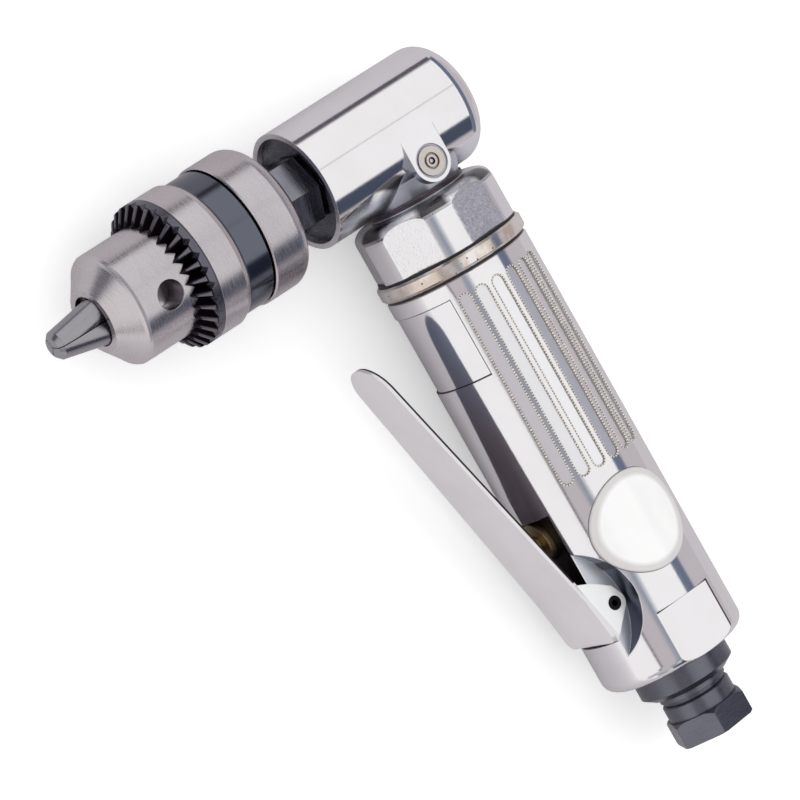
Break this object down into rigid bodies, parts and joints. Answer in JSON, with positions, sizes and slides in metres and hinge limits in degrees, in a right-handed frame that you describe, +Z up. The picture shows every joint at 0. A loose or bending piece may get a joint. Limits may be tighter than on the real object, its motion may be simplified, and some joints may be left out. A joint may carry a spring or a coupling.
{
  "type": "angle air drill",
  "caption": "Right-angle air drill with a fluted chrome handle, side throttle lever, air inlet and keyed jaw chuck on a turning spindle.",
  "frame": {"origin": "bottom centre of the bounding box of the tool lying on its side", "axes": "+X along the handle towards the air inlet, -Y along the chuck axis towards the jaws, +Z up through the badge side"},
  "size_m": [0.2144, 0.144, 0.0454],
  "materials": {
    "polished_chrome": "polished",
    "nickel_fitting": "satin",
    "black_seal": "matte",
    "white_badge": "gloss",
    "brass": "machined",
    "nickel_lever": "satin",
    "dark_pin": "black oxide",
    "black_oxide": "black oxide",
    "dark_spindle": "oiled",
    "chuck_steel": "turned",
    "jaw_steel": "ground",
    "gear_steel": "ground",
    "bearing_steel": "ground",
    "spring_steel": "drawn",
    "vane_resin": "moulded",
    "gasket_paper": "pressed",
    "felt": "felt"
  },
  "bodies": {
    "handle": {"angle_housing": "polished_chrome", "grease_fitting": "nickel_fitting", "grease_ball": "nickel_fitting", "bearing_cap": "dark_pin", "spindle_bearing_outer": "bearing_steel", "spindle_rear_bush": "brass", "pinion_bearing_outer": "bearing_steel", "coupling_nut": "polished_chrome", "upper_seal_ring": "black_seal", "lock_ring": "polished_chrome", "lower_seal_ring": "black_seal", "handle_housing": "polished_chrome", "badge": "white_badge", "ring_gear": "gear_steel", "front_end_plate": "gear_steel", "cylinder": "gear_steel", "rear_end_plate": "gear_steel", "cylinder_dowel": "gear_steel", "motor_gasket": "gasket_paper", "rotor_front_bearing_outer": "bearing_steel", "rotor_rear_bearing_outer": "bearing_steel", "valve_bushing": "brass", "valve_bushing_seal": "black_seal", "lever_pin": "dark_pin", "exhaust_silencer": "felt", "exhaust_deflector": "black_oxide", "inlet_washer": "black_oxide", "inlet_bushing": "black_oxide", "inlet_screen": "spring_steel"},
    "lever": {"throttle_lever": "nickel_lever"},
    "valve": {"valve_stem": "brass", "valve_seat_washer": "black_seal", "valve_spring": "spring_steel"},
    "motor_rotor": {"rotor": "gear_steel", "rotor_vanes": "vane_resin", "rotor_front_bearing_inner": "bearing_steel", "rotor_rear_bearing_inner": "bearing_steel"},
    "carrier": {"planet_carrier": "gear_steel", "planet_pins": "gear_steel", "bevel_pinion": "gear_steel", "pinion_bearing_inner": "bearing_steel"},
    "planet_1": {"planet_gear_1": "gear_steel"},
    "planet_2": {"planet_gear_2": "gear_steel"},
    "planet_3": {"planet_gear_3": "gear_steel"},
    "chuck": {"spindle": "dark_spindle", "bevel_gear": "gear_steel", "gear_key": "gear_steel", "spindle_bearing_inner": "bearing_steel", "chuck_body": "chuck_steel", "chuck_screw": "dark_pin"},
    "sleeve": {"chuck_sleeve": "chuck_steel", "chuck_nut": "gear_steel"},
    "jaw_1": {"chuck_jaw_1": "jaw_steel"},
    "jaw_2": {"chuck_jaw_2": "jaw_steel"},
    "jaw_3": {"chuck_jaw_3": "jaw_steel"},
    "spindle_balls": {"spindle_bearing_balls": "bearing_steel"},
    "pinion_balls": {"pinion_bearing_balls": "bearing_steel"},
    "front_balls": {"rotor_front_bearing_balls": "bearing_steel"},
    "rear_balls": {"rotor_rear_bearing_balls": "bearing_steel"}
  },
  "joints": [
    {"name": "spindle_spin", "type": "hinge", "parent": "handle", "child": "chuck", "pos_m": [-0.08525, 0.04795, 0.0227], "axis": [0, -1, 0], "continuous": true},
    {"name": "carrier_spin", "type": "hinge", "parent": "handle", "child": "carrier", "pos_m": [-0.05525, 0.04795, 0.0227], "axis": [-1, 0, 0], "continuous": true},
    {"name": "rotor_spin", "type": "hinge", "parent": "handle", "child": "motor_rotor", "pos_m": [-0.01525, 0.04795, 0.0227], "axis": [-1, 0, 0], "continuous": true},
    {"name": "planet_1_spin", "type": "hinge", "parent": "carrier", "child": "planet_1", "pos_m": [-0.04925, 0.0397, 0.0227], "axis": [-1, 0, 0], "continuous": true},
    {"name": "planet_2_spin", "type": "hinge", "parent": "carrier", "child": "planet_2", "pos_m": [-0.04925, 0.05208, 0.02985], "axis": [-1, 0, 0], "continuous": true},
    {"name": "planet_3_spin", "type": "hinge", "parent": "carrier", "child": "planet_3", "pos_m": [-0.04925, 0.05208, 0.01555], "axis": [-1, 0, 0], "continuous": true},
    {"name": "spindle_balls_spin", "type": "hinge", "parent": "handle", "child": "spindle_balls", "pos_m": [-0.08525, 0.02695, 0.0227], "axis": [0, -1, 0], "continuous": true},
    {"name": "pinion_balls_spin", "type": "hinge", "parent": "handle", "child": "pinion_balls", "pos_m": [-0.06325, 0.04795, 0.0227], "axis": [-1, 0, 0], "continuous": true},
    {"name": "front_balls_spin", "type": "hinge", "parent": "handle", "child": "front_balls", "pos_m": [-0.04025, 0.04795, 0.0227], "axis": [-1, 0, 0], "continuous": true},
    {"name": "rear_balls_spin", "type": "hinge", "parent": "handle", "child": "rear_balls", "pos_m": [0.01075, 0.04795, 0.0227], "axis": [-1, 0, 0], "continuous": true},
    {"name": "sleeve_turn", "type": "hinge", "parent": "chuck", "child": "sleeve", "pos_m": [-0.08525, -0.02205, 0.0227], "axis": [0, -1, 0], "range_deg": [0, 5232.2]},
    {"name": "jaw_1_slide", "type": "slide", "parent": "chuck", "child": "jaw_1", "axis": [-0.1731, 0.9733, 0.1505], "range_m": [0, 0.02182]},
    {"name": "jaw_2_slide", "type": "slide", "parent": "chuck", "child": "jaw_2", "axis": [-0.0438, 0.9733, -0.2251], "range_m": [0, 0.02182]},
    {"name": "jaw_3_slide", "type": "slide", "parent": "chuck", "child": "jaw_3", "axis": [0.2169, 0.9733, 0.0747], "range_m": [0, 0.02182]},
    {"name": "lever_press", "type": "hinge", "parent": "handle", "child": "lever", "pos_m": [0.05825, 0.03255, 0.0227], "axis": [0, 0, -1], "range_deg": [0, 9.5], "stiffness_Nm_per_rad": 3, "springref_deg": -2.86},
    {"name": "valve_slide", "type": "slide", "parent": "handle", "child": "valve", "axis": [0, 1, 0], "range_m": [0, 0.004], "deforming": ["valve_spring"]}
  ],
  "couplings": [
    {"joint": "carrier_spin", "follows": "spindle_spin", "ratio": 1.5},
    {"joint": "rotor_spin", "follows": "spindle_spin", "ratio": 7.5},
    {"joint": "planet_1_spin", "follows": "spindle_spin", "ratio": -4},
    {"joint": "planet_2_spin", "follows": "spindle_spin", "ratio": -4},
    {"joint": "planet_3_spin", "follows": "spindle_spin", "ratio": -4},
    {"joint": "spindle_balls_spin", "follows": "spindle_spin", "ratio": 0.402},
    {"joint": "pinion_balls_spin", "follows": "spindle_spin", "ratio": 0.56},
    {"joint": "front_balls_spin", "follows": "spindle_spin", "ratio": 2.8},
    {"joint": "rear_balls_spin", "follows": "spindle_spin", "ratio": 2.8},
    {"joint": "jaw_1_slide", "follows": "sleeve_turn", "m_per_rad": 0.00023873},
    {"joint": "jaw_2_slide", "follows": "sleeve_turn", "m_per_rad": 0.00023873},
    {"joint": "jaw_3_slide", "follows": "sleeve_turn", "m_per_rad": 0.00023873},
    {"joint": "valve_slide", "follows": "lever_press", "m_per_rad": 0.02383}
  ]
}
